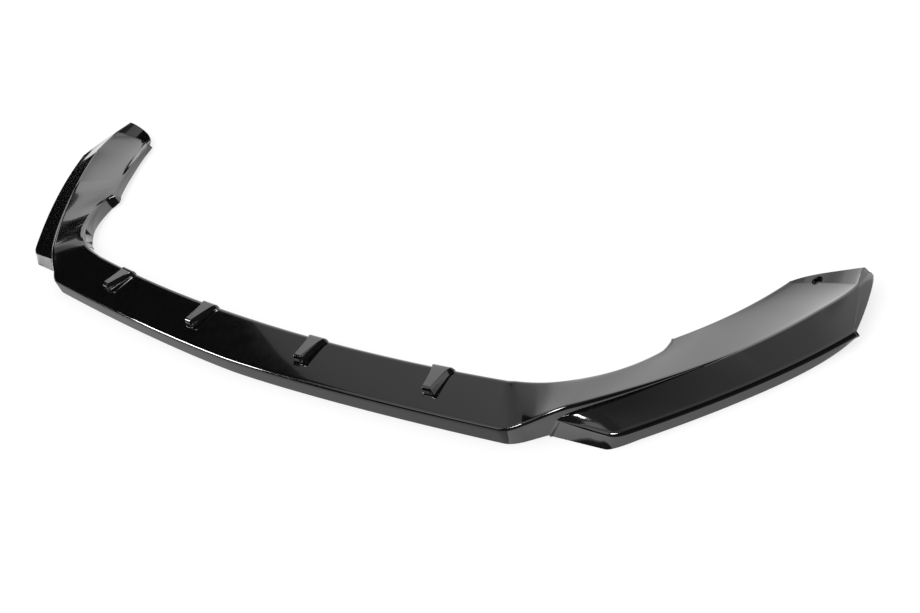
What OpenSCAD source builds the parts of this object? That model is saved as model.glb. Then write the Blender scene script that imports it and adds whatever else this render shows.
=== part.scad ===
// Front splitter lip: one moulded sheet, a shallow bow with two swept-back arms.
// Millimetres, +Z up, x across the car, -y towards the road ahead, z = 0 on the skirt's lower edge.

/* [Sheet] */
// Wall of the formed sheet
wall = 3; // [2:0.5:4]
// Radius of the front lip and of the arm's ridge
lip_r = 4.5; // [3.5:0.5:7]
// Radius of the rear and inner edge
rear_r = 4; // [3.5:0.5:6]
// Radius of the blade's outer edge
blade_r = 4; // [3.5:0.5:7]

/* [Front bow] */
// Lip edge ahead of the datum on the centre line
lip_y = 360; // [340:1:380]
// How far the lip edge falls back at the corners
lip_bow = 32; // [15:1:60]
// Rear edge ahead of the datum on the centre line
rear_y = 283; // [265:1:300]
// How far the rear edge falls back at the corners
rear_bow = 32; // [15:1:50]
// Height of the lip edge
lip_z = 24.5; // [18:0.5:32]
// Height of the rear edge
rear_z = 29; // [20:0.5:32]
// Depth of the turned-down rear edge
rear_drop = 8; // [5.5:0.5:16]

/* [Corners] */
// Half width where the lip begins to turn back
corner_x = 556; // [530:1:575]
// Half width where the inner edge begins to turn back
inner_x = 510; // [490:1:540]
// Where the arm's ridge starts, across and ahead
ridge_x = 590; // [580:1:600]
ridge_y = 311.5; // [300:0.5:316]
// Height of the arm's ridge beside the blade's nose
shoulder_z = 35.5; // [28:0.5:38]
// Height of the inner edge at the front of the arm
arm_z = 30.5; // [24:0.5:36]

/* [Arms] */
// Ridge's end, across and behind the datum
end_x = 860; // [845:1:870]
end_y = 18; // [5:1:30]
// Sweep of the ridge: pull of its front half, across and ahead, and of its rear half
sweep_x = 104; // [90:1:130]
sweep_y = 248; // [235:1:270]
rear_pull = 94; // [70:1:120]
// Ridge height along the middle of the arm and at its end
ridge_z = 28; // [24:0.5:32]
end_z = 24.5; // [20:0.5:28]
// Inner edge at the jog, across and ahead
jog_x = 681; // [670:1:690]
jog_y = 135; // [125:1:145]
// Step of the jog towards the middle, and its length along the car
jog_in = 9; // [4:0.5:14]
jog_len = 13; // [6:1:20]
// Width of the arm at its end, and how far its inner rear corner lies behind the datum
end_w = 110; // [100:1:120]
heel_y = 10; // [0:1:20]
// Height of the inner edge behind the jog and at the rear corner
jog_z = 18; // [12:0.5:28]
heel_z = 12; // [7:0.5:20]
// Height of the sloping inner wall ahead of the jog, and how far its foot stands inwards
scoop_drop = 17.5; // [8:0.5:19]
scoop_lean = 6.5; // [0:0.5:12]
// Height and lean of the inner drop behind the jog
inner_drop = 9; // [8.5:0.5:12]
inner_lean = 6; // [0:0.5:8]

/* [Blade] */
// Nose corner of the blade, across and ahead
nose_x = 719; // [700:1:735]
nose_y = 281; // [270:1:292]
// Height of the step from the arm's ridge down to the blade at the notch
step = 10.5; // [5:0.5:16]
// Height of the blade's front edge at the notch
notch_z = 21; // [16:0.5:26]
// Depth of the groove between the arm's ridge and the blade
groove = 2.5; // [1:0.5:4]
// Height of the blade's outer edge at the nose and at the rear
blade_z = 17.3; // [12:0.1:24]
blade_end_z = 15; // [12:0.5:20]
// Rear corner of the blade: how far it stands outside the ridge's end, and ahead of the datum
blade_out = 42; // [30:1:55]
blade_y = 47; // [30:1:70]
// How far the foot of the blade's front wall stands ahead of its top edge at the nose
toe = 9; // [0:0.5:16]
// Foot of the notch between the lip and the blade, across and ahead
notch_x = 609; // [600:1:616]
notch_y = 296; // [288:1:304]
// Rise of the skirt's lower edge at the rear corner
skirt_rise = 8.5; // [4:0.5:11]

/* [Fins] */
// Half distance between the inner pair and between the outer pair, at their front faces
fin_in_x = 141.5; // [120:0.5:170]
fin_out_x = 411; // [380:1:440]
// How far the inner and the outer fins lean towards the middle at the rear edge
fin_in_skew = 3.5; // [0:0.5:20]
fin_out_skew = 13; // [0:0.5:25]
// Length from the rear edge to the foot of the front face
fin_len = 52; // [40:1:58]
// Length of the sloping front face
fin_face = 8; // [4:0.5:14]
// Height at the front and at the rear edge
fin_h = 10; // [6:0.5:12]
fin_rear_h = 7.5; // [3:0.5:9]
// Width of the foot at the front and at the rear
fin_w = 19; // [16:0.5:26]
fin_rear_w = 40; // [30:0.5:50]

/* [Rear flange] */
// Length of the up-turned flange behind the crease
flange_len = 27; // [18:1:34]
// Dish of the arm's top at the crease, and what is left of it at the flange's edge
dish = 7.5; // [0:0.5:9]
dish_edge = 5.5; // [0:0.5:6]
// How far the arm's tip bows outwards past the crease, and how far it falls there
tip_bulge = 17; // [4:0.5:22]
tip_dip = 5.5; // [0:0.5:8]
// Screw hole's bore, the pressed cup in which the screw's head sits, and the cup's side wall
screw_d = 6; // [4:0.5:8]
seat_d = 14; // [10:0.5:15]
seat_deep = 3.3; // [2:0.1:4]
cup_wall = 2.5; // [2:0.1:3]
// How far the screw hole lies inside the ridge's end, and behind the datum
screw_in = 73; // [60:1:85]
screw_y = 24; // [18:1:25]

/* [Hidden] */
black = [0.03, 0.03, 0.035];
$fn = 48;

// reference half width in which both bows are given
bow_x = 550;
// where along the arm (2 = front, 3 = crease) the blade leaves the ridge and where its nose lies
leave = 2.13;
nose = 2.22;
// where the jog starts and ends along the arm
jog_a = 2.33;
jog_b = 2.36;
// reach over which the wall's foot rises again past the jog
jog_foot = 2 * (jog_b - jog_a);
// plan width of the groove and the blade's inner rounding at the foot of the step
valley_w = 6;
// clear of either skin when a hole is cut
over = 30;
heel_x = end_x - end_w;
blade_x = end_x + blade_out;
screw_x = end_x - screw_in;

function mix(a, b, t) = a + (b - a) * t;
function fold(f) = pow(4 * f * (1 - f), 0.8);
function clamp(t) = min(1, max(0, t));
function ease(t) = let (c = clamp(t)) c * c * (3 - 2 * c);
function bend(p, q, r, t) = mix(mix(p, q, t), mix(q, r, t), t);
function unit(v) = v / norm(v);

// Plan curves. Their parameter runs 0 to 1 over half the bow, to 2 round the corner,
// to 3 along the arm and to 4 over the flange.
function lip_at(x) = [x, lip_bow * pow(x / bow_x, 1.55) - lip_y];
function rear_at(x) = [x, rear_bow * pow(x / bow_x, 2.05) - rear_y];

corner = lip_at(corner_x);
ridge_0 = [ridge_x, -ridge_y];
ridge_1 = [end_x, end_y];
ridge_a = [ridge_x + sweep_x, -sweep_y];
ridge_b = [end_x - 6, end_y - rear_pull];
// sharp corner that the lip's turn rounds off
turn = [corner_x + (ridge_x - corner_x) * 0.5, corner[1] + 1.4];
tip = [end_x - 11, end_y + flange_len];

function ridge(s) =
    s <= 1 ? lip_at(s * corner_x)
    : s <= 2 ? bend(corner, turn, ridge_0, s - 1)
    : s <= 3 ? mix(bend(ridge_0, ridge_a, ridge_b, s - 2), bend(ridge_a, ridge_b, ridge_1, s - 2), s - 2)
    : mix(ridge_1, tip, s - 3);

inner_0 = rear_at(inner_x);
// pull of the inner bend, on the line along which the bow's rear edge leaves
inner_mid = mix(rear_at(inner_x - 1), inner_0, (jog_x - inner_x) * 0.8);
inner_1 = [jog_x, -jog_y];
jog_end = [jog_x - jog_in, jog_len - jog_y];
heel_mid = [heel_x - 20, -heel_y - 58];
heel = [heel_x, heel_y];
// share of the inner bend that lies beside the corner
share = 0.07;

function inner(s) =
    s <= 1 ? rear_at(s * inner_x)
    : s <= 2 ? bend(inner_0, inner_mid, inner_1, (s - 1) * share)
    : s <= jog_a ? bend(inner_0, inner_mid, inner_1, mix(share, 1, (s - 2) / (jog_a - 2)))
    : s <= jog_b ? mix(inner_1, jog_end, (s - jog_a) / (jog_b - jog_a))
    : s <= 3 ? bend(jog_end, heel_mid, heel, (s - jog_b) / (3 - jog_b))
    : mix(heel, heel + [1, 4], s - 3);

leave_at = ridge(leave);
// share of the wall's height, from the ridge down, at which the blade's front edge meets it
notch_share = 1 - notch_z / (ridge_h(leave) - lip_r);
notch_at = mix(leave_at, [notch_x, -notch_y], notch_share);
nose_at = [nose_x, -nose_y];
blade_mid = [blade_x - 48, -blade_y - 104];
blade_1 = [blade_x, -blade_y];
// reach of the nose's rounding along the arm
round_s = 0.012;

function blade_run(s) = bend(nose_at, blade_mid, blade_1, pow(clamp((s - nose) / (3 - nose)), 0.75));
function blade_front(s) = mix(notch_at, nose_at, (s - leave) / (nose - leave));
function outer(s) =
    s <= leave ? ridge(s)
    : s <= nose - round_s ? blade_front(s)
    : s <= nose + round_s
        ? bend(blade_front(nose - round_s), nose_at, blade_run(nose + round_s), (s - nose + round_s) / (2 * round_s))
    : s <= 3 ? blade_run(s)
    : mix(blade_1, blade_1 + [1, 3], s - 3);

// Lower edge of the skirt, with the toe of the blade's front wall
toe_0 = [notch_x, -notch_y];
toe_1 = [nose_x - 16, -nose_y - toe];
toe_turn = [nose_x - 6, -nose_y - toe + 1];
function foot(s) =
    s <= 2 ? ridge(s)
    : s <= leave ? mix(ridge_0, toe_0, (s - 2) / (leave - 2))
    : s <= nose - 2 * round_s ? mix(toe_0, toe_1, (s - leave) / (nose - 2 * round_s - leave))
    : s <= nose + 2 * round_s
        ? bend(toe_1, toe_turn, outer(nose + 2 * round_s) + [-2.5, 0], (s - nose + 2 * round_s) / (4 * round_s))
    : outer(s) + [-2.5, 0];

// Heights along the same parameter
function ridge_h(s) =
    s < 2.16 ? mix(lip_z, shoulder_z, ease(((s < 2 ? (s - 2) * 0.093 : s - 2) + 0.055) / 0.215))
    : mix(mix(shoulder_z, ridge_z, clamp((s - 2.16) / 0.44)), end_z, ease((s - 2.8) / 0.2)) + clamp(s - 3);
function inner_h(s) =
    s < 2.1 ? mix(rear_z, arm_z, ease((s - 0.9) / 1.1))
    : s < 2.4 ? mix(arm_z, jog_z, ease((s - 2.1) / 0.3))
    : mix(jog_z, heel_z, clamp((s - 2.4) / 0.6));
function outer_h(s) = s < nose ? mix(notch_z, blade_z, (s - leave) / (nose - leave)) : mix(blade_z, blade_end_z, clamp(s - nose));
function foot_h(s) = skirt_rise * pow(clamp((s - 2.6) / 0.4), 2.5);
// the step between ridge and blade, full height at the nose and gone by the middle of the arm
function step_h(s) = step * pow(clamp((2.6 - s) / 0.47), 1.5);
// share of the full rounding that the step still has room for
function step_share(s) = s <= leave ? 1 : clamp(step_h(s) / (lip_r + groove));
// share of the groove and the outer rounding that fit on the blade where it is still narrow
function room(s) = clamp((s - leave) / 0.05);
function drop_h(s) =
    s < jog_a ? mix(rear_drop, scoop_drop, ease((s - 2.05) / 0.1))
    : mix(scoop_drop, inner_drop, ease((s - jog_a) / jog_foot)) - 3 * ease((s - 2.6) / 0.5);
function drop_lean(s) =
    s < jog_a ? mix(1, scoop_lean, ease((s - 2) / 0.1))
    : mix(scoop_lean, inner_lean, ease((s - jog_a) / jog_foot)) * (1 - 0.7 * ease((s - 2.6) / 0.5));
// how far the blade's rear edge bows outwards past the crease
function side_bulge(s, f) =
    [0.87, 0.48] * tip_bulge * ease((s - 2.85) / 1.15) * (1 - 0.2 * ease((s - 3.7) / 0.3)) * pow(1 - f, 0.7) * pow(f, 0.15);
function side_dip(s, f) = tip_dip * (1 - f) * clamp(s - 3);
// how far the stations bow to the rear near the arm's end, and how deep the top is dished there
function end_bulge(s, f) = 10 * ease((s - 2.6) / 0.4) * fold(f) + 7 * clamp(s - 3) * fold(f) * pow(1 - f, 2);
function dish_h(s) = s < 3 ? dish * ease((s - 2.5) / 0.5) : mix(dish, dish_edge, s - 3);

// Groove's points: shares of its width from the ridge, and of its depth
groove_at = [0.15, 0.4, 0.6, 1];
groove_cut = [0.8, 1, 0.35, 0];

// Fins: lateral code m of a station runs -3 to 3, 3 being the foot and 0 the crest
// widths of crest and shoulder as shares of the foot, at the rear edge and at the front
rear_share = [0, 0.78, 0.93, 1];
front_share = [0, 0.64, 0.87, 1];
fin_rise = [1, 1, 0.75, 0];
function fin_front(k) = k == 1 ? fin_in_x : fin_out_x;
function fin_skew(k) = k == 1 ? fin_in_skew : fin_out_skew;
// share of the top's depth taken by a fin's foot and by its crest
fin_foot_f = fin_len / (lip_y - rear_y);
fin_top_f = (fin_len - fin_face) / (lip_y - rear_y);
function fin_x(k, m, f, inset) =
    let (g = clamp(f / fin_foot_f), half = mix(fin_rear_w, fin_w, pow(g, 0.5)) / 2)
    fin_front(k) - fin_skew(k) * (1 - g)
        + sign(m) * max(0.8 * abs(m), half * mix(rear_share[abs(m)], front_share[abs(m)], g) - inset);
function fin_lift(k, m, f) =
    k == 0 ? 0
    : mix(fin_rear_h, fin_h, clamp(f / fin_top_f)) * fin_rise[abs(m)]
        * (f <= fin_top_f ? 1 : f >= fin_foot_f ? 0 : 0.78);

// A station is [inner parameter, ridge parameter, fin, lateral code]
function plain(s) = [s, s, 0, 0];
function fin_station(k, m) = [fin_x(k, m, 0, 0) / inner_x, fin_x(k, m, 1, 0) / corner_x, k, m];
function between(p, q, g) = [mix(p[0], q[0], g), mix(p[1], q[1], g), 0, 0];
half = concat(
    [for (g = [0, 0.4, 0.8]) between(plain(0), fin_station(1, -3), g)],
    [for (m = [-3:3]) fin_station(1, m)],
    [for (g = [0.15:0.175:0.86]) between(fin_station(1, 3), fin_station(2, -3), g)],
    [for (m = [-3:3]) fin_station(2, m)],
    [for (g = [0.25, 0.5, 0.75]) between(fin_station(2, 3), plain(1), g)],
    [for (s = [1:0.2:2]) plain(s)],
    [for (s = [2.045, 2.09, leave, 2.134, 2.142, 2.155, 2.172, 2.19]) plain(s)],
    [for (s = [nose - round_s, nose - 0.004, nose + 0.004, nose + round_s]) plain(s)],
    [for (s = [2.26, 2.3, jog_a, mix(jog_a, jog_b, 0.5), jog_b, 2.39, 2.45, 2.52, 2.6, 2.68, 2.76, 2.83, 2.89, 2.95]) plain(s)],
    [for (s = [3, 3.35, 3.7, 4]) plain(s)]);

function across(c, s) = let (t = unit(c(s + 0.003) - c(max(0, s - 0.003)))) [-t[1], t[0]];
function spot(p, z) = [p[0], p[1], z];

// Point on the top skin, or on the under skin when inset is the wall
function top_pt(st, f, inset) =
    let (a = st[0], b = st[1], k = st[2], m = st[3],
         p = inner(a) + across(function (s) inner(s), a) * -rear_r,
         q = ridge(b) + across(function (s) ridge(s), b) * lip_r,
         g = mix(a, b, f),
         straight = mix(p, q, f),
         x = k == 0 ? straight[0] : fin_x(k, m, f, inset),
         y = k == 0 ? straight[1] : mix(rear_at(x)[1] - rear_r, lip_at(x)[1] + lip_r, f),
         bow = end_bulge(b, f),
         z = mix(inner_h(a), ridge_h(b), f) - dish_h(b) * fold(f))
    [x, y + bow, z - inset + fin_lift(k, m, f)];

// Ring of one station: top skin from the inner drop to the skirt, then the under skin back
function rim(st, inset) =
    let (a = st[0], b = st[1], k = st[2], m = st[3],
         n = -across(function (s) inner(s), a), e = inner(a),
         x = k == 0 ? e[0] : fin_x(k, m, 0, inset),
         base = k == 0 ? e : rear_at(x),
         h = inner_h(a) + fin_lift(k, m, 0),
         r = rear_r - inset)
    concat(
        [spot(base + n * (inset - drop_lean(a)), inner_h(a) - drop_h(a))],
        [for (v = inset > 0 ? [0, 45] : [0, 30, 60])
            spot(base + n * (rear_r - r * cos(v)), h - rear_r + r * sin(v))]);

function crest(st, inset) =
    let (b = st[1], n = across(function (s) ridge(s), b), r = lip_r - inset)
    [for (v = inset > 0 ? [45, 90] : [30, 60, 90])
        spot(ridge(b) + n * (lip_r - r * sin(v)), ridge_h(b) - inset - step_share(b) * r * (1 - cos(v)))];

function ledge(st, inset) =
    let (b = st[1], n = across(function (s) ridge(s), b), on = across(function (s) outer(s), b),
         e = ridge(b), hem = foot(b), rim_p = outer(b), fit = room(b), r = max(0.3, blade_r * fit - inset), full = max(blade_r * fit, inset + r),
         z0 = ridge_h(b) - step_h(b), low = outer_h(b), cut = groove * step_share(b) * fit,
         from = e + n * (inset - valley_w * fit), to = rim_p + on * full)
    b > leave
        ? concat(
            inset > 0
                ? [spot(e + n * (inset - groove_at[0] * fit), z0 - inset - cut)]
                : [for (i = [0:3]) spot(e - n * valley_w * groove_at[i] * fit, z0 - cut * groove_cut[i])],
            [for (f = inset > 0 ? [0.12, 0.45] : [0.12, 0.4, 0.72])
                spot(mix(from, to, f) + side_bulge(b, f), mix(z0, low, f) - side_dip(b, f) - inset)],
            [for (v = inset > 0 ? [0, 90] : [0, 45, 90])
                spot(rim_p + on * (full - r * sin(v)), low - inset - r * (1 - cos(v)))],
            [spot(hem + on * inset, foot_h(b))])
        : concat(
            [for (h = inset > 0 ? [-0.25, -0.1, 0.05, 0.15, 0.25] : [-0.3, -0.2, -0.12, -0.06, 0, 0.05, 0.1, 0.15, 0.2, 0.27])
                let (g = mix(0.5, notch_share, clamp(b - 1) / (leave - 1)) + h * (b < 2 ? 0.8 : mix(0.8, 0.06, (b - 2) / (leave - 2))))
                spot(mix(e + n * inset, hem + n * inset, g), (ridge_h(b) - lip_r) * (1 - g))],
            [spot(hem + n * inset, 0)]);

top_f = [0, 0.16, 0.34, fin_top_f, mix(fin_top_f, fin_foot_f, 0.6), fin_foot_f, 0.72, 0.86, 1];
under_f = [0, 0.3, fin_top_f, fin_foot_f, 0.78, 1];

function skin(st, inset) = concat(
    rim(st, inset),
    [for (f = inset > 0 ? under_f : top_f) top_pt(st, f, inset)],
    crest(st, inset),
    ledge(st, inset));

function turned(v) = [for (i = [len(v) - 1:-1:0]) v[i]];
function ring(st) = concat(skin(st, 0), turned(skin(st, wall)));
function flip(r) = [for (p = r) [-p[0], p[1], p[2]]];

// height of the sheet's top where the screw goes through
seat_f = (screw_x - heel_x) / (end_x - heel_x);
seat_z = mix(inner_h(3), ridge_h(3), seat_f) - dish_h(3) * fold(seat_f);

rings = [for (st = half) ring(st)];
// middle of the whole length, so the part stands centred on its own frame
mid_y = (lip_y - max([for (p = rings[len(rings) - 1]) p[1]])) / 2;
all_rings = concat([for (i = [len(rings) - 1:-1:1]) flip(rings[i])], rings);
count = len(rings[0]);
outer_count = len(skin(half[0], 0));
last = len(all_rings) - 1;

// the two sheet edges at the arm ends are closed by strips between both skins
function strip_under(j) = count - 1 - round(j * (count - outer_count - 1) / (outer_count - 1));

module at_screws(z) {
    for (side = [-1, 1]) translate([side * screw_x, screw_y, z]) children();
}

module splitter_lip() {
    side = [for (i = [0:last - 1], j = [0:count - 1])
        let (a = i * count + j, b = i * count + (j + 1) % count, c = a + count, d = b + count)
        each [[a, c, b], [b, c, d]]];
    cap = [for (j = [0:outer_count - 2])
        let (a = j, b = j + 1, c = strip_under(j), d = strip_under(j + 1))
        each (c == d ? [[a, b, c]] : [[a, b, c], [b, d, c]])];
    back = last * count;
    color(black)
    translate([0, mid_y, 0])
    difference() {
        union() {
            polyhedron(concat([for (r = all_rings) each r], []),
                faces = concat(side, cap, [for (t = cap) [t[0] + back, t[2] + back, t[1] + back]]));
            at_screws(seat_z - seat_deep - wall) cylinder(d = seat_d + 2 * cup_wall, h = seat_deep + wall - 0.1);
        }
        at_screws(0) cylinder(d = screw_d, h = over);
        at_screws(seat_z - seat_deep) cylinder(d = seat_d, h = over);
    }
}

splitter_lip();
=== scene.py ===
# %% [markdown]
# # A front splitter lip in gloss black ABS
# This lesson dresses one moulded sheet: the lip that sits under a car's front bumper.
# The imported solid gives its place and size. Here the same surface is drawn much more finely,
# so that its narrow radii catch the light as the real part's do.

# %% Load the fixed frame
import math

import bmesh
import bpy
import numpy as np
from mathutils import Matrix, Vector


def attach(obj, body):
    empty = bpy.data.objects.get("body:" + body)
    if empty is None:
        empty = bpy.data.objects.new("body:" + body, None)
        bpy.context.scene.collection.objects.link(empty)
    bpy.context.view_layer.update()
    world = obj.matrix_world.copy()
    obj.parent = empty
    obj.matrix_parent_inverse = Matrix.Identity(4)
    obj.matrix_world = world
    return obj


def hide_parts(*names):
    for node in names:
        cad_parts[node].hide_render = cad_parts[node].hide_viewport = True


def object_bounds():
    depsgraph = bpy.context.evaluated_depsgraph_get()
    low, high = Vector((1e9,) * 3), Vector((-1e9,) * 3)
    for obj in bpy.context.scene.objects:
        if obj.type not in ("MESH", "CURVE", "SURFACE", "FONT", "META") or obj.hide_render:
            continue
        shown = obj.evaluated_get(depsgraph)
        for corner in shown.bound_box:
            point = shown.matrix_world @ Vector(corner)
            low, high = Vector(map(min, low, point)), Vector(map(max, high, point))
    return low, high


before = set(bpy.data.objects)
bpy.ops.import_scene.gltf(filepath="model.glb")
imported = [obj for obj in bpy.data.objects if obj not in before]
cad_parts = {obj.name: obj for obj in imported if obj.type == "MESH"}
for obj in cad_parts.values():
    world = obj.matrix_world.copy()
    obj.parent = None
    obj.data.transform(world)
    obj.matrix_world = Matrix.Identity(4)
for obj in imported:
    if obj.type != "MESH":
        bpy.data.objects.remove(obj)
solid_low, solid_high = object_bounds()
print("solid, mm:", [round(v * 1000, 1) for v in (*solid_low, *solid_high)])

# %% [markdown]
# ## The sheet's sizes
# All of them are in millimetres. They are the same as in the solid, apart from three that bring
# the look nearer to the photo: the blade's edge is rounded 1.5 mm more, the fins are 2 mm lower
# at the rear edge, and the bulge at the arm's end is set 3 mm larger. The datum line of the plan
# curves lies behind the bow, so lengths ahead of it are given as positive numbers and become -y.

# %% Sizes of the sheet
WALL = 3.0
LIP_R, REAR_R, BLADE_R = 4.5, 4.0, 5.5
LIP_Y, LIP_BOW, LIP_Z = 360.0, 32.0, 24.5
REAR_Y, REAR_BOW, REAR_Z, REAR_DROP = 283.0, 32.0, 29.0, 8.0
CORNER_X, INNER_X = 556.0, 510.0
RIDGE_0, RIDGE_1 = np.array([590.0, -311.5]), np.array([860.0, 18.0])
RIDGE_A, RIDGE_B = np.array([694.0, -248.0]), np.array([854.0, -76.0])
SHOULDER_Z, ARM_Z, RIDGE_Z, END_Z = 35.5, 30.5, 28.0, 24.5
JOG, JOG_IN, JOG_LEN = np.array([681.0, -135.0]), 9.0, 13.0
HEEL = np.array([750.0, 10.0])
JOG_Z, HEEL_Z = 18.0, 12.0
SCOOP_DROP, SCOOP_LEAN, INNER_DROP, INNER_LEAN = 17.5, 6.5, 9.0, 6.0
NOSE = np.array([719.0, -281.0])
STEP, GROOVE, VALLEY_W, NOTCH_Z = 10.5, 2.5, 6.0, 21.0
BLADE_Z, BLADE_END_Z = 17.3, 15.0
BLADE_1 = np.array([902.0, -47.0])
TOE = 9.0
NOTCH_FOOT = np.array([609.0, -296.0])
SKIRT_RISE = 8.5
FLANGE_LEN, DISH, DISH_EDGE, TIP_BULGE, TIP_DIP = 27.0, 7.5, 5.5, 20.0, 5.5
SCREW_D, SEAT_D, SEAT_DEEP, CUP_WALL = 6.0, 14.0, 3.3, 2.5
SCREW_X, SCREW_Y = 787.0, 24.0
BOW_X = 550.0
LEAVE, NOSE_S, JOG_A, JOG_B = 2.13, 2.22, 2.33, 2.36
JOG_FOOT = 2 * (JOG_B - JOG_A)
ROUND_S, SHARE = 0.012, 0.07
BULGE_WAY = np.array([0.87, 0.48])
print("sheet, mm: thick", WALL, " blade's edge rounding", BLADE_R)

# %% [markdown]
# ## Plan curves
# One number s runs from the middle of the bow (0) to its corner (1), round the corner (2),
# along the arm (3) and over the flange (4). Each edge of the sheet is a curve over s, made of
# a few bends, as a pattern maker would lay splines on the drawing.

# %% Helpers that blend
def mix(a, b, t):
    return a + (b - a) * t


def clamp(t):
    return min(1.0, max(0.0, t))


def ease(t):
    c = clamp(t)
    return c * c * (3 - 2 * c)


def bend(p, q, r, t):
    return mix(mix(p, q, t), mix(q, r, t), t)


def fold(f):
    return (4 * f * (1 - f)) ** 0.8 if 0 < f < 1 else 0.0


# %% Edges seen from above
def lip_at(x):
    return np.array([x, LIP_BOW * (x / BOW_X) ** 1.55 - LIP_Y])


def rear_at(x):
    return np.array([x, REAR_BOW * (x / BOW_X) ** 2.05 - REAR_Y])


CORNER = lip_at(CORNER_X)
TURN = np.array([CORNER_X + (RIDGE_0[0] - CORNER_X) * 0.5, CORNER[1] + 1.4])
TIP = RIDGE_1 + np.array([-11.0, FLANGE_LEN])


def ridge(s):
    if s <= 1:
        return lip_at(s * CORNER_X)
    if s <= 2:
        return bend(CORNER, TURN, RIDGE_0, s - 1)
    if s <= 3:
        t = s - 2
        return mix(bend(RIDGE_0, RIDGE_A, RIDGE_B, t), bend(RIDGE_A, RIDGE_B, RIDGE_1, t), t)
    return mix(RIDGE_1, TIP, s - 3)


INNER_0 = rear_at(INNER_X)
INNER_MID = mix(rear_at(INNER_X - 1), INNER_0, (JOG[0] - INNER_X) * 0.8)
JOG_END = JOG + np.array([-JOG_IN, JOG_LEN])
HEEL_MID = HEEL + np.array([-20.0, -68.0])


def inner(s):
    if s <= 1:
        return rear_at(s * INNER_X)
    if s <= 2:
        return bend(INNER_0, INNER_MID, JOG, (s - 1) * SHARE)
    if s <= JOG_A:
        return bend(INNER_0, INNER_MID, JOG, mix(SHARE, 1, (s - 2) / (JOG_A - 2)))
    if s <= JOG_B:
        return mix(JOG, JOG_END, (s - JOG_A) / (JOG_B - JOG_A))
    if s <= 3:
        return bend(JOG_END, HEEL_MID, HEEL, (s - JOG_B) / (3 - JOG_B))
    return mix(HEEL, HEEL + np.array([1.0, 4.0]), s - 3)


def ridge_h(s):
    if s < 2.16:
        return mix(LIP_Z, SHOULDER_Z, ease(((0.093 * (s - 2) if s < 2 else s - 2) + 0.055) / 0.215))
    along = mix(SHOULDER_Z, RIDGE_Z, clamp((s - 2.16) / 0.44))
    return mix(along, END_Z, ease((s - 2.8) / 0.2)) + clamp(s - 3)


def inner_h(s):
    if s < 2.1:
        return mix(REAR_Z, ARM_Z, ease((s - 0.9) / 1.1))
    if s < 2.4:
        return mix(ARM_Z, JOG_Z, ease((s - 2.1) / 0.3))
    return mix(JOG_Z, HEEL_Z, clamp((s - 2.4) / 0.6))


LEAVE_AT = ridge(LEAVE)
NOTCH_SHARE = 1 - NOTCH_Z / (ridge_h(LEAVE) - LIP_R)
NOTCH_AT = mix(LEAVE_AT, NOTCH_FOOT, NOTCH_SHARE)
BLADE_MID = BLADE_1 + np.array([-48.0, -104.0])


def blade_run(s):
    return bend(NOSE, BLADE_MID, BLADE_1, clamp((s - NOSE_S) / (3 - NOSE_S)) ** 0.75)


def blade_front(s):
    return mix(NOTCH_AT, NOSE, (s - LEAVE) / (NOSE_S - LEAVE))


def outer(s):
    if s <= LEAVE:
        return ridge(s)
    if s <= NOSE_S - ROUND_S:
        return blade_front(s)
    if s <= NOSE_S + ROUND_S:
        return bend(blade_front(NOSE_S - ROUND_S), NOSE, blade_run(NOSE_S + ROUND_S),
                    (s - NOSE_S + ROUND_S) / (2 * ROUND_S))
    if s <= 3:
        return blade_run(s)
    return mix(BLADE_1, BLADE_1 + np.array([1.0, 3.0]), s - 3)


TOE_1 = NOSE + np.array([-16.0, -TOE])
TOE_TURN = NOSE + np.array([-6.0, -TOE + 1])


def foot(s):
    if s <= 2:
        return ridge(s)
    if s <= LEAVE:
        return mix(RIDGE_0, NOTCH_FOOT, (s - 2) / (LEAVE - 2))
    if s <= NOSE_S - 2 * ROUND_S:
        return mix(NOTCH_FOOT, TOE_1, (s - LEAVE) / (NOSE_S - 2 * ROUND_S - LEAVE))
    side = np.array([-2.5, 0.0])
    if s <= NOSE_S + 2 * ROUND_S:
        return bend(TOE_1, TOE_TURN, outer(NOSE_S + 2 * ROUND_S) + side,
                    (s - NOSE_S + 2 * ROUND_S) / (4 * ROUND_S))
    return outer(s) + side


# %% Heights and small forms along the arm
def outer_h(s):
    if s < NOSE_S:
        return mix(NOTCH_Z, BLADE_Z, (s - LEAVE) / (NOSE_S - LEAVE))
    return mix(BLADE_Z, BLADE_END_Z, clamp(s - NOSE_S))


def foot_h(s):
    return SKIRT_RISE * clamp((s - 2.6) / 0.4) ** 2.5


def step_h(s):
    return STEP * clamp((2.6 - s) / 0.47) ** 1.5


def step_share(s):
    return 1.0 if s <= LEAVE else clamp(step_h(s) / (LIP_R + GROOVE))


def room(s):
    return clamp((s - LEAVE) / 0.05)


def band(s):
    """Share of the ridge's rounding and groove that is left where the step runs out."""
    return mix(0.25, 1.0, ease(step_share(s)))


def drop_h(s):
    if s < JOG_A:
        return mix(REAR_DROP, SCOOP_DROP, ease((s - 2.05) / 0.1))
    return mix(SCOOP_DROP, INNER_DROP, ease((s - JOG_A) / JOG_FOOT)) - 3 * ease((s - 2.6) / 0.5)


def drop_lean(s):
    if s < JOG_A:
        return mix(1.0, SCOOP_LEAN, ease((s - 2) / 0.1))
    k = mix(SCOOP_LEAN, INNER_LEAN, ease((s - JOG_A) / JOG_FOOT))
    return k * (1 - 0.7 * ease((s - 2.6) / 0.5))


def side_bulge(s, f):
    grown = ease((s - 2.85) / 1.15) * (1 - 0.2 * ease((s - 3.7) / 0.3))
    start = 1 - math.exp(-f / 0.06)
    return BULGE_WAY * TIP_BULGE * grown * (1 - f) ** 0.62 * mix(0.78, 0.95, f) * start


def side_dip(s, f):
    return TIP_DIP * (1 - f) * clamp(s - 3)


def end_bulge(s, f):
    return (10 * ease((s - 2.6) / 0.4) + 7 * clamp(s - 3) * (1 - f) ** 2) * fold(f)


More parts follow.
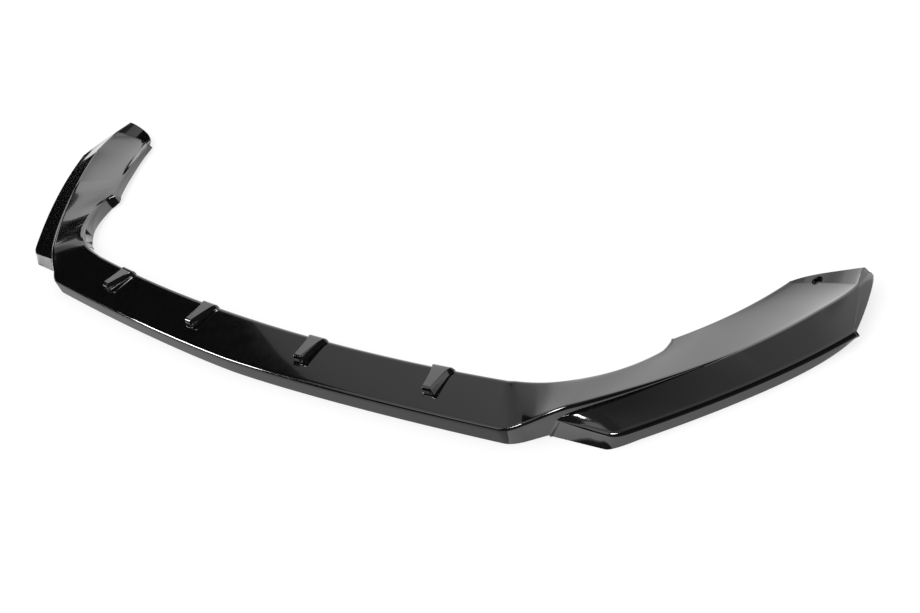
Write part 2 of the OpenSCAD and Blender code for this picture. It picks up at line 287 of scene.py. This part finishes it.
def dish_h(s):
    return DISH * ease((s - 2.5) / 0.5) if s < 3 else mix(DISH, DISH_EDGE, s - 3)


# %% [markdown]
# ## Fins
# The fins are pressed out of the same sheet: narrow at the front, wide at the rear edge, with
# a nearly flat top. They are not separate blocks. Each one is a local rise of the top skin, so
# stations of the mesh run along its sides.

# %% Fins on the bow
FIN_X = {1: 141.5, 2: 411.0}
FIN_SKEW = {1: 3.5, 2: 13.0}
FIN_LEN, FIN_FACE, FIN_H, FIN_REAR_H, FIN_W, FIN_REAR_W = 52.0, 8.0, 10.0, 5.5, 19.0, 40.0
FIN_FOOT_F = FIN_LEN / (LIP_Y - REAR_Y)
FIN_TOP_F = (FIN_LEN - FIN_FACE) / (LIP_Y - REAR_Y)
FIN_CREST_REAR, FIN_CREST_FRONT, FIN_FILLET = 0.8, 0.62, 0.8


def fin_place(k, u, f, inset):
    """x of a point at share u of the fin's half width, at share f from the rear edge."""
    g = clamp(f / FIN_FOOT_F)
    half = mix(FIN_REAR_W, FIN_W, g ** 0.5) / 2
    return FIN_X[k] - FIN_SKEW[k] * (1 - g) + u * max(3.0, half - (inset if abs(u) <= 1 else 0.0))


def fin_lift(k, u, f):
    if k == 0:
        return 0.0
    crest = mix(FIN_CREST_REAR, FIN_CREST_FRONT, clamp(f / FIN_FOOT_F))
    side = max(0.0, (abs(u) - crest) / (1 - crest))
    face = max(0.0, (f - FIN_TOP_F) / (FIN_FOOT_F - FIN_TOP_F))
    rise = mix(FIN_REAR_H, FIN_H, clamp(f / FIN_TOP_F)) * (1 - side ** 2.0 - face ** 2.4)
    sink = FIN_FILLET ** 2 / (4 * FIN_REAR_H)
    return max(0.0, (rise + math.sqrt(rise * rise + FIN_FILLET ** 2)) / 2 - sink)


# %% [markdown]
# ## Stations and rings
# A station is one cut across the sheet. Its ring of points runs over the top skin from the
# rear edge to the skirt, and back along the under skin, three millimetres away. The rings are
# then joined by quads. Lofting like this keeps rows of faces in line with every edge, which a
# boolean or a remesh wouldn't, and straight rows are what makes gloss reflections run clean.

# %% One ring
def across(curve, s):
    a, b = curve(s + 0.002), curve(max(0.0, s - 0.002))
    t = (a - b) / np.linalg.norm(a - b)
    return np.array([-t[1], t[0]])


def arc(n):
    return [math.pi / 2 * i / n for i in range(1, n + 1)]


TOP_F = np.concatenate([np.linspace(0, 0.5, 13), np.linspace(FIN_TOP_F - 0.02, FIN_FOOT_F + 0.02, 15),
                        np.linspace(0.73, 1, 7)])
UNDER_F = np.array([0, 0.15, 0.3, 0.45, FIN_TOP_F, 0.6, FIN_FOOT_F, 0.8, 1.0])


def calm_inner(a):
    """The inner edge with the jog smoothed out of it, for the skin away from the edge."""
    reach = 0.14 * ease((a - 2.0) / 0.15) * ease((3.0 - a) / 0.2)
    shares = np.linspace(-1, 1, 9)
    return sum(inner(a + reach * t) - across(inner, a + reach * t) * REAR_R for t in shares) / len(shares)


def skin(station, inset):
    a, b, k, u = station
    fine = inset == 0
    n_in, e_in = -across(inner, a), inner(a)
    n_r, e_r = across(ridge, b), ridge(b)
    p, q = e_in + n_in * REAR_R, e_r + n_r * LIP_R * band(b)
    calm = calm_inner(a) if 2 < a < 3 else p
    points = []
    # rear edge and its rounding
    x = e_in[0] if k == 0 else fin_place(k, u, 0.0, inset)
    base = e_in if k == 0 else rear_at(x)
    h = inner_h(a) + fin_lift(k, u, 0.0)
    r = REAR_R - inset
    points.append((*(base + n_in * (inset - drop_lean(a))), inner_h(a) - drop_h(a)))
    for v in ([0.0] + arc(7)[:-1] if fine else [0.0, math.pi / 4]):
        points.append((*(base + n_in * (REAR_R - r * math.cos(v))), h - REAR_R + r * math.sin(v)))
    # top, from the rear edge to the ridge
    for f in (TOP_F if fine else UNDER_F):
        if k == 0:
            x, y = mix(calm, q, f) + (p - calm) * clamp(1 - f / 0.3) ** 2
        else:
            x = fin_place(k, u, f, inset)
            y = mix(rear_at(x)[1] - REAR_R, lip_at(x)[1] + LIP_R, f)
        z = mix(inner_h(a), ridge_h(b), f) - dish_h(b) * fold(f)
        points.append((x, y + end_bulge(b, f), z - inset + fin_lift(k, u, f)))
    # ridge or lip rounding
    r = LIP_R - inset
    for v in (arc(7) if fine else arc(2)):
        points.append((*(e_r + n_r * (LIP_R - r * math.sin(v)) * band(b)),
                       ridge_h(b) - inset - step_share(b) * r * (1 - math.cos(v))))
    hem = foot(b)
    if b > LEAVE:
        on, rim, fit = across(outer, b), outer(b), room(b)
        r = max(0.3, BLADE_R * fit - inset)
        full = max(BLADE_R * fit, inset + r)
        z0, low, cut = ridge_h(b) - step_h(b), outer_h(b), GROOVE * step_share(b) * fit
        wide = VALLEY_W * fit * band(b)
        start, end = e_r + n_r * (inset - wide), rim + on * full
        if fine:
            for t in np.linspace(0.12, 1, 9):
                depth = math.sin(math.pi * min(1.0, t * 1.08)) ** 0.8 if t < 0.92 else 0.0
                points.append((*(e_r - n_r * wide * t), z0 - cut * depth))
        else:
            points.append((*(e_r + n_r * (inset - 0.15 * fit)), z0 - inset - cut))
        for f in (np.concatenate([[0.02, 0.05], np.linspace(0.1, 0.92, 10)]) if fine else [0.12, 0.45]):
            x, y = mix(start, end, f) + side_bulge(b, f)
            points.append((x, y, mix(z0, low, f) - side_dip(b, f) - inset))
        for v in ([0.0] + arc(7) if fine else [0.0, math.pi / 2]):
            points.append((*(rim + on * (full - r * math.sin(v))), low - inset - r * (1 - math.cos(v))))
    else:
        n = 29 if fine else 5
        for i in range(n):
            t = (i + 0.5) / n - 0.5
            spread = 0.5 if b < 2 else mix(0.5, 0.03, (b - 2) / (LEAVE - 2))
            g = mix(0.5, NOTCH_SHARE, clamp((b - 1) / (LEAVE - 1))) + t * spread
            points.append((*mix(e_r + n_r * inset, hem + n_r * inset, g), (ridge_h(b) - LIP_R) * (1 - g)))
        on = n_r
    points.append((*(hem + on * inset), foot_h(b)))
    return points


# %% Stations along half the lip
def plain(s):
    return (s, s, 0, 0.0)


def fin_station(k, u):
    return (fin_place(k, u, 0.0, 0) / INNER_X, fin_place(k, u, 1.0, 0) / CORNER_X, k, u)


fin_u = np.concatenate([np.linspace(0.0, 0.36, 4), np.linspace(0.42, 1.06, 24), [1.1, 1.17, 1.26]])
fin_u = np.concatenate([-fin_u[:0:-1], fin_u])
stations = [plain(x / CORNER_X) for x in np.linspace(0, 112, 15)]
stations += [fin_station(1, u) for u in fin_u]
stations += [plain(x / CORNER_X) for x in np.linspace(172, 376, 26)]
stations += [fin_station(2, u) for u in fin_u]
stations += [plain(x / CORNER_X) for x in np.linspace(444, 550, 14)]
stations += [plain(s) for s in np.linspace(1, 2, 26)]
stations += [plain(s) for s in np.linspace(2.008, LEAVE, 14)]
stations += [plain(s) for s in np.linspace(LEAVE + 0.002, NOSE_S - ROUND_S, 24)]
stations += [plain(s) for s in np.linspace(NOSE_S - ROUND_S, NOSE_S + ROUND_S, 11)[1:]]
stations += [plain(s) for s in np.linspace(NOSE_S + ROUND_S, JOG_A, 16)[1:]]
stations += [plain(s) for s in np.linspace(JOG_A, JOG_B, 7)[1:]]
stations += [plain(s) for s in np.linspace(JOG_B, 3, 66)[1:]]
stations += [plain(s) for s in np.linspace(3, 4, 17)[1:]]
top_count = len(skin(stations[0], 0))
half_rings = [np.array(skin(st, 0) + skin(st, WALL)[::-1]) for st in stations]
ring_count = len(half_rings[0])
print("stations on one side:", len(half_rings), " points round a ring:", ring_count)
assert all(len(r) == ring_count for r in half_rings)

# %% Join the rings into one closed sheet
mirror = np.array([-1.0, 1.0, 1.0])
rings = [r * mirror for r in half_rings[:0:-1]] + half_rings
# the rear ends are lined up, which leaves the front edge about 1.4 mm behind the solid's
mid_y = solid_high[1] * 1000 - half_rings[-1][:, 1].max()
vertices = np.concatenate(rings) + np.array([0.0, mid_y, 0.0])
faces = []
for i in range(len(rings) - 1):
    for j in range(ring_count):
        a, b = i * ring_count + j, i * ring_count + (j + 1) % ring_count
        faces.append((a, b, b + ring_count, a + ring_count))


def end_strip(offset, turn_over):
    """Faces that close the sheet's edge at an arm's end, between the two skins."""
    under = ring_count - top_count
    made = []
    for j in range(top_count - 1):
        c = ring_count - 1 - round(j * (under - 1) / (top_count - 1))
        d = ring_count - 1 - round((j + 1) * (under - 1) / (top_count - 1))
        loop = [j, c, d, j + 1] if c != d else [j, c, j + 1]
        loop = [v + offset for v in loop]
        made.append(loop[::-1] if turn_over else loop)
    return made


faces += end_strip(0, True) + end_strip((len(rings) - 1) * ring_count, False)
mesh = bpy.data.meshes.new("lip_sheet")
mesh.from_pydata((vertices / 1000).tolist(), [], faces)
mesh.validate()
sheet = bpy.data.objects.new("lip_sheet", mesh)
bpy.context.scene.collection.objects.link(sheet)
fixer = bmesh.new()
fixer.from_mesh(mesh)
bmesh.ops.recalc_face_normals(fixer, faces=fixer.faces)
fixer.to_mesh(mesh)
fixer.free()
print("faces:", len(mesh.polygons), " moved along y by, mm:", round(mid_y, 2))

# %% [markdown]
# ## Screw holes
# Each arm's end has a through hole at the bottom of a pressed cup, in which the screw's head
# sinks. A boolean is right here: cup and hole are small, round and sharp edged. First the cup's
# body is joined on below the sheet, then the cup and the hole are cut out of it.

# %% Cut the screw holes
def round_tool(name, x, diameter, low, high):
    bm = bmesh.new()
    bmesh.ops.create_cone(bm, cap_ends=True, segments=48, radius1=diameter / 2000, radius2=diameter / 2000,
                          depth=(high - low) / 1000)
    bmesh.ops.translate(bm, verts=bm.verts, vec=(x / 1000, (SCREW_Y + mid_y) / 1000, (high + low) / 2000))
    data = bpy.data.meshes.new(name)
    bm.to_mesh(data)
    bm.free()
    made = bpy.data.objects.new(name, data)
    bpy.context.scene.collection.objects.link(made)
    return made


seat_f = (SCREW_X - HEEL[0]) / (RIDGE_1[0] - HEEL[0])
seat_z = mix(inner_h(3), ridge_h(3), seat_f) - dish_h(3) * fold(seat_f)
cup_floor = seat_z - SEAT_DEEP
steps = (("cup", "UNION", SEAT_D + 2 * CUP_WALL, cup_floor - WALL, seat_z - 0.1),
         ("bore", "DIFFERENCE", SCREW_D, -5.0, 30.0),
         ("seat", "DIFFERENCE", SEAT_D, cup_floor, 30.0))
for side in (-1, 1):
    for name, operation, diameter, from_z, to_z in steps:
        tool = round_tool(name, side * SCREW_X, diameter, from_z, to_z)
        cut = sheet.modifiers.new(name, "BOOLEAN")
        cut.operation, cut.solver, cut.object = operation, "EXACT", tool
        bpy.context.view_layer.objects.active = sheet
        bpy.ops.object.modifier_apply(modifier=cut.name)
        bpy.data.objects.remove(tool)
mesh = sheet.data
bpy.context.view_layer.objects.active = sheet
sheet.select_set(True)
bpy.ops.object.shade_smooth_by_angle(angle=math.radians(32))
print("faces with the holes cut:", len(mesh.polygons))

# %% [markdown]
# ## The finish
# Black ABS, drawn into shape over a mould and polished. Its colour is nearly black all through,
# so almost everything the eye sees is reflection. Two things keep it from looking like glass:
# the sheet is never quite flat, and dust and faint rubbing marks break the gloss a little.

# %% Colour and node helpers
def linear(hex_code):
    """sRGB hex to linear RGBA."""
    values = [int(hex_code[i:i + 2], 16) / 255 for i in (1, 3, 5)]
    return (*[v / 12.92 if v <= 0.04045 else ((v + 0.055) / 1.055) ** 2.4 for v in values], 1.0)


def add(tree, kind, settings=None, links=None):
    """Adds a node, sets its properties or inputs, and links its inputs from other nodes' outputs."""
    node = tree.nodes.new(kind)
    for key, value in (settings or {}).items():
        if isinstance(key, str) and hasattr(node, key):
            setattr(node, key, value)
        else:
            node.inputs[key].default_value = value
    for key, output in (links or {}).items():
        tree.links.new(output, node.inputs[key])
    return node


def new_material(name):
    material = bpy.data.materials.new(name)
    material.use_nodes = True
    material.node_tree.nodes.clear()
    return material, material.node_tree


# %% Gloss black ABS
MM = 0.001
gloss_abs, tree = new_material("gloss_black_abs")
place = add(tree, "ShaderNodeTexCoord")
# waves of a sheet that was drawn over a mould: about 150 mm from crest to crest
wave = add(tree, "ShaderNodeTexNoise", {"Scale": 1 / (150 * MM), "Detail": 1.0, "Roughness": 0.4},
           {"Vector": place.outputs["Object"]})
# faint orange peel of the polished surface: about 4 mm
peel = add(tree, "ShaderNodeTexNoise", {"Scale": 1 / (4 * MM), "Detail": 2.0, "Roughness": 0.5},
           {"Vector": place.outputs["Object"]})
wave_bump = add(tree, "ShaderNodeBump", {"Strength": 0.5, "Distance": 1.2 * MM},
                {"Height": wave.outputs["Fac"]})
peel_bump = add(tree, "ShaderNodeBump", {"Strength": 0.015, "Distance": 0.05 * MM},
                {"Height": peel.outputs["Fac"], "Normal": wave_bump.outputs["Normal"]})
# dust and rubbing marks change the roughness a little, over about 30 mm
haze = add(tree, "ShaderNodeTexNoise", {"Scale": 1 / (30 * MM), "Detail": 6.0, "Roughness": 0.65},
           {"Vector": place.outputs["Object"]})
rough = add(tree, "ShaderNodeMapRange", {"From Min": 0.35, "From Max": 0.7, "To Min": 0.07, "To Max": 0.13},
            {"Value": haze.outputs["Fac"]})
# the clear acrylic cap that such sheet is rolled with, over the black body
abs_shader = add(tree, "ShaderNodeBsdfPrincipled",
                 {"Base Color": linear("#0b0b0d"), "IOR": 1.53, "Coat Weight": 1.0, "Coat Roughness": 0.03,
                  "Coat IOR": 1.49},
                 {"Roughness": rough.outputs["Result"], "Normal": peel_bump.outputs["Normal"],
                  "Coat Normal": wave_bump.outputs["Normal"]})
add(tree, "ShaderNodeOutputMaterial", None, {"Surface": abs_shader.outputs["BSDF"]})
sheet.data.materials.clear()
sheet.data.materials.append(gloss_abs)
print("finish:", gloss_abs.name)

# %% [markdown]
# ## On the frame
# The sheet rides on the part's one body and is shown in place of its solid.

# %% Put the sheet on its frame
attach(sheet, "root")
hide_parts("splitter_lip")
print("on its frame:", sheet.name)

# %% [markdown]
# ## Camera
# The photo's camera looks down at about 31 degrees from the front right, with a long lens. Its
# place and its three axes were found by matching mirrored points of the two arms.

# %% Camera
camera = bpy.data.objects.new("camera", bpy.data.cameras.new("camera"))
bpy.context.scene.collection.objects.link(camera)
right = Vector((0.62247852, 0.65627236, -0.42641186))
up = Vector((-0.16758554, 0.64397236, 0.74646814))
forward = Vector((-0.76448386, 0.39319992, -0.51084073))
turn = Matrix((right, up, -forward)).transposed().to_4x4()
camera.matrix_world = Matrix.Translation((2.37517, -1.22163 + mid_y * MM, 1.40028)) @ turn
camera.data.sensor_width, camera.data.lens = 36.0, 80.03
camera.data.clip_end = 60.0
bpy.context.scene.camera = camera

# %% [markdown]
# ## Room and floor
# The part stands on a white floor in a white room. Light Path lets the camera, and reflections,
# see the room as plain white, while the light that falls on the part stays a little lower. The
# floor's own glow is part of its white, and the rest is lit, so the part keeps a soft shadow.

# %% Room and floor
scene = bpy.context.scene
scene.view_settings.view_transform = "Standard"
world = bpy.data.worlds.new("white_room")
scene.world = world
world.use_nodes = True
room_tree = world.node_tree
room_tree.nodes.clear()
path = add(room_tree, "ShaderNodeLightPath")
seen = add(room_tree, "ShaderNodeMath", {"operation": "MAXIMUM"},
           {0: path.outputs["Is Camera Ray"], 1: path.outputs["Is Glossy Ray"]})
seen_all = add(room_tree, "ShaderNodeMath", {"operation": "MAXIMUM"},
               {0: seen.outputs[0], 1: path.outputs["Is Transmission Ray"]})
level = add(room_tree, "ShaderNodeMapRange", {"To Min": 0.8, "To Max": 1.0}, {"Value": seen_all.outputs[0]})
room_light = add(room_tree, "ShaderNodeBackground", {"Color": linear("#ffffff")},
                 {"Strength": level.outputs["Result"]})
add(room_tree, "ShaderNodeOutputWorld", None, {"Surface": room_light.outputs["Background"]})


def flat(name, corners, material):
    """A flat four-cornered sheet of the studio."""
    data = bpy.data.meshes.new(name)
    data.from_pydata(corners, [], [(0, 1, 2, 3)])
    data.materials.append(material)
    made = bpy.data.objects.new(name, data)
    scene.collection.objects.link(made)
    return made


floor_paint, tree = new_material("white_floor_paint")
diffuse = add(tree, "ShaderNodeBsdfDiffuse", {"Color": linear("#a6a6a6")})
glow = add(tree, "ShaderNodeEmission", {"Color": linear("#ffffff"), "Strength": 0.74})
both = add(tree, "ShaderNodeAddShader", None, {0: diffuse.outputs["BSDF"], 1: glow.outputs["Emission"]})
add(tree, "ShaderNodeOutputMaterial", None, {"Surface": both.outputs["Shader"]})
flat("floor", [(-12, -12, 0), (12, -12, 0), (12, 12, 0), (-12, 12, 0)], floor_paint)
print("room and floor are ready")

# %% [markdown]
# ## Cards
# Gloss black shows nothing but its surroundings. In a wholly white room it would look grey, so a
# photographer stands black and grey cards round it, and the edge between a card and the room
# draws the form. These cards are seen by reflections only: they cast no shadow and add nothing
# to the part's matt colour. They were placed for the photo's view, and from other sides the
# gloss mirrors other cards, so the part looks darker there.

# %% Cards that only reflections see
def card(name, corners, grey):
    paint, tree = new_material(name + "_paint")
    tone = add(tree, "ShaderNodeEmission", {"Color": linear("#ffffff"), "Strength": grey})
    add(tree, "ShaderNodeOutputMaterial", None, {"Surface": tone.outputs["Emission"]})
    made = flat(name, corners, paint)
    for ray in ("camera", "diffuse", "transmission", "volume_scatter", "shadow"):
        setattr(made, "visible_" + ray, False)
    return made


def wall_card(name, x, y_range, z_range, grey):
    (y0, y1), (z0, z1) = y_range, z_range
    return card(name, [(x, y0, z0), (x, y1, z0), (x, y1, z1), (x, y0, z1)], grey)


def front_card(name, y, x_range, z_range, grey):
    (x0, x1), (z0, z1) = x_range, z_range
    return card(name, [(x0, y, z0), (x1, y, z0), (x1, y, z1), (x0, y, z1)], grey)


def level_card(name, z, x_range, y_range, grey):
    (x0, x1), (y0, y1) = x_range, y_range
    return card(name, [(x0, y0, z), (x1, y0, z), (x1, y1, z), (x0, y1, z)], grey)


def graded(made, blend):
    """Makes a card's brightness vary over it. blend gets the tree and the x, y and z outputs."""
    tree = made.data.materials[0].node_tree
    spot = add(tree, "ShaderNodeNewGeometry")
    axes = add(tree, "ShaderNodeSeparateXYZ", None, {0: spot.outputs["Position"]})
    lit = [n for n in tree.nodes if n.type == "EMISSION"][0]
    tree.links.new(blend(tree, *axes.outputs), lit.inputs["Strength"])


def ramp(tree, value, from_, to, kind="SMOOTHSTEP"):
    (a, b), (c, d) = from_, to
    return add(tree, "ShaderNodeMapRange", {"interpolation_type": kind, "From Min": a, "From Max": b,
                                            "To Min": c, "To Max": d}, {"Value": value}).outputs[0]


def math_node(tree, operation, a, b):
    return add(tree, "ShaderNodeMath", {"operation": operation}, {0: a, 1: b}).outputs[0]


# the studio's sides, in metres from the part's middle
FLAG_X, FLAG_EDGE = -4.0, 1.1
RIGHT_X, FRONT_Y, BACK_Y, ROOM_H = 4.5, -5.0, 5.0, 7.0
ABOVE_FLOOR = 0.0004
wall_card("black_flag", FLAG_X, (-7, FLAG_EDGE), (-0.3, 3.25), 0.006)
wall_card("black_flag_corner", FLAG_X, (1.32, 1.62), (1.15, 1.9), 0.006)
wall_card("pale_card_over_flag", FLAG_X, (-2, FLAG_EDGE), (3.25, 6.9), 0.5)
wall_card("dark_side_right", RIGHT_X, (-7, 1.0), (0, ROOM_H), 0.05)
front_card("dark_side_front", FRONT_Y, (FLAG_X, RIGHT_X), (0, ROOM_H), 0.05)
front_card("soft_box_behind", BACK_Y, (-3.9, 3.0), (0, 4.5), 1.45)
# painted shade: a dark card on the floor just in front of the lip, seen only in reflections, stands in for
# the part's shadow on the floor there, so the front skirt mirrors a darker floor
level_card("painted_floor_shade_card", ABOVE_FLOOR, (-0.72, 0.565), (-1.3, -0.15), 0.3)
print("flag's edge at y, m:", FLAG_EDGE)

# %% [markdown]
# ## Graded wall and ceiling
# To the left of the part and behind it stands a wall that is lit from below. It is bright near
# the floor and darker above a slanting line, so the arms and the fins' tops show pale grey and
# the bow a darker grey. The ceiling is dark in front and grows paler to the rear, which grades
# the blade from near black at its nose to grey at its end.

# %% Graded wall and ceiling
def wall_light(tree, x, y, z):
    slope = math_node(tree, "SUBTRACT", z, ramp(tree, y, (0, 9), (0, 12), "LINEAR"))
    low_part = ramp(tree, slope, (-0.5, 0.35), (0.95, 0.6))
    high_part = math_node(tree, "ADD", ramp(tree, y, (1.1, 1.9), (0.24, 0.42), "LINEAR"),
                          ramp(tree, y, (1.9, 2.7), (0.0, 0.45)))
    share = ramp(tree, slope, (0.35, 0.8), (0, 1))
    rest = ramp(tree, slope, (0.35, 0.8), (1, 0))
    both = math_node(tree, "ADD", math_node(tree, "MULTIPLY", low_part, rest),
                     math_node(tree, "MULTIPLY", high_part, share))
    return math_node(tree, "MULTIPLY", both, ramp(tree, y, (2.2, 3.4), (1.0, 1.15)))


def ceiling_light(tree, x, y, z):
    rear = ramp(tree, y, (1.0, 4.6), (0.12, 0.9), "LINEAR")
    return math_node(tree, "MULTIPLY", rear, ramp(tree, x, (-1.3, -0.3), (1.0, 0.15)))


graded(wall_card("graded_wall", FLAG_X - 0.05, (FLAG_EDGE - 0.1, 9), (-0.2, ROOM_H), 1.0), wall_light)
graded(level_card("graded_ceiling", ROOM_H, (FLAG_X - 0.1, RIGHT_X), (FRONT_Y, BACK_Y), 1.0), ceiling_light)
print("graded: wall and ceiling")

# %% [markdown]
# ## Strips
# Narrow bright strips draw the thin white lines on the part's roundings. A rounding shows a
# strip only where the strip lies on the cone of directions that the edge mirrors to the eye, so
# the place and length of each strip set where its line starts and ends.

# %% Strips
def strip(name, place, along, length, width, grey):
    """A bright card, centred on place, that faces the part's middle."""
    along = Vector(along).normalized()
    facing = Vector(place).normalized()
    wide = along.cross(facing).normalized() * width / 2
    half = along * length / 2
    middle = Vector(place)
    corners = [middle - half - wide, middle + half - wide, middle + half + wide, middle - half + wide]
    return card(name, corners, grey)


strip("strip_for_lip", (-3.0, -1.43, 1.46), (0.0, -0.643, 0.766), 0.93, 0.6, 22.0)
strip("strip_for_ridge", (-0.3, -0.9, 2.25), (0.65, 0.05, 0.3), 0.45, 0.7, 28.0)
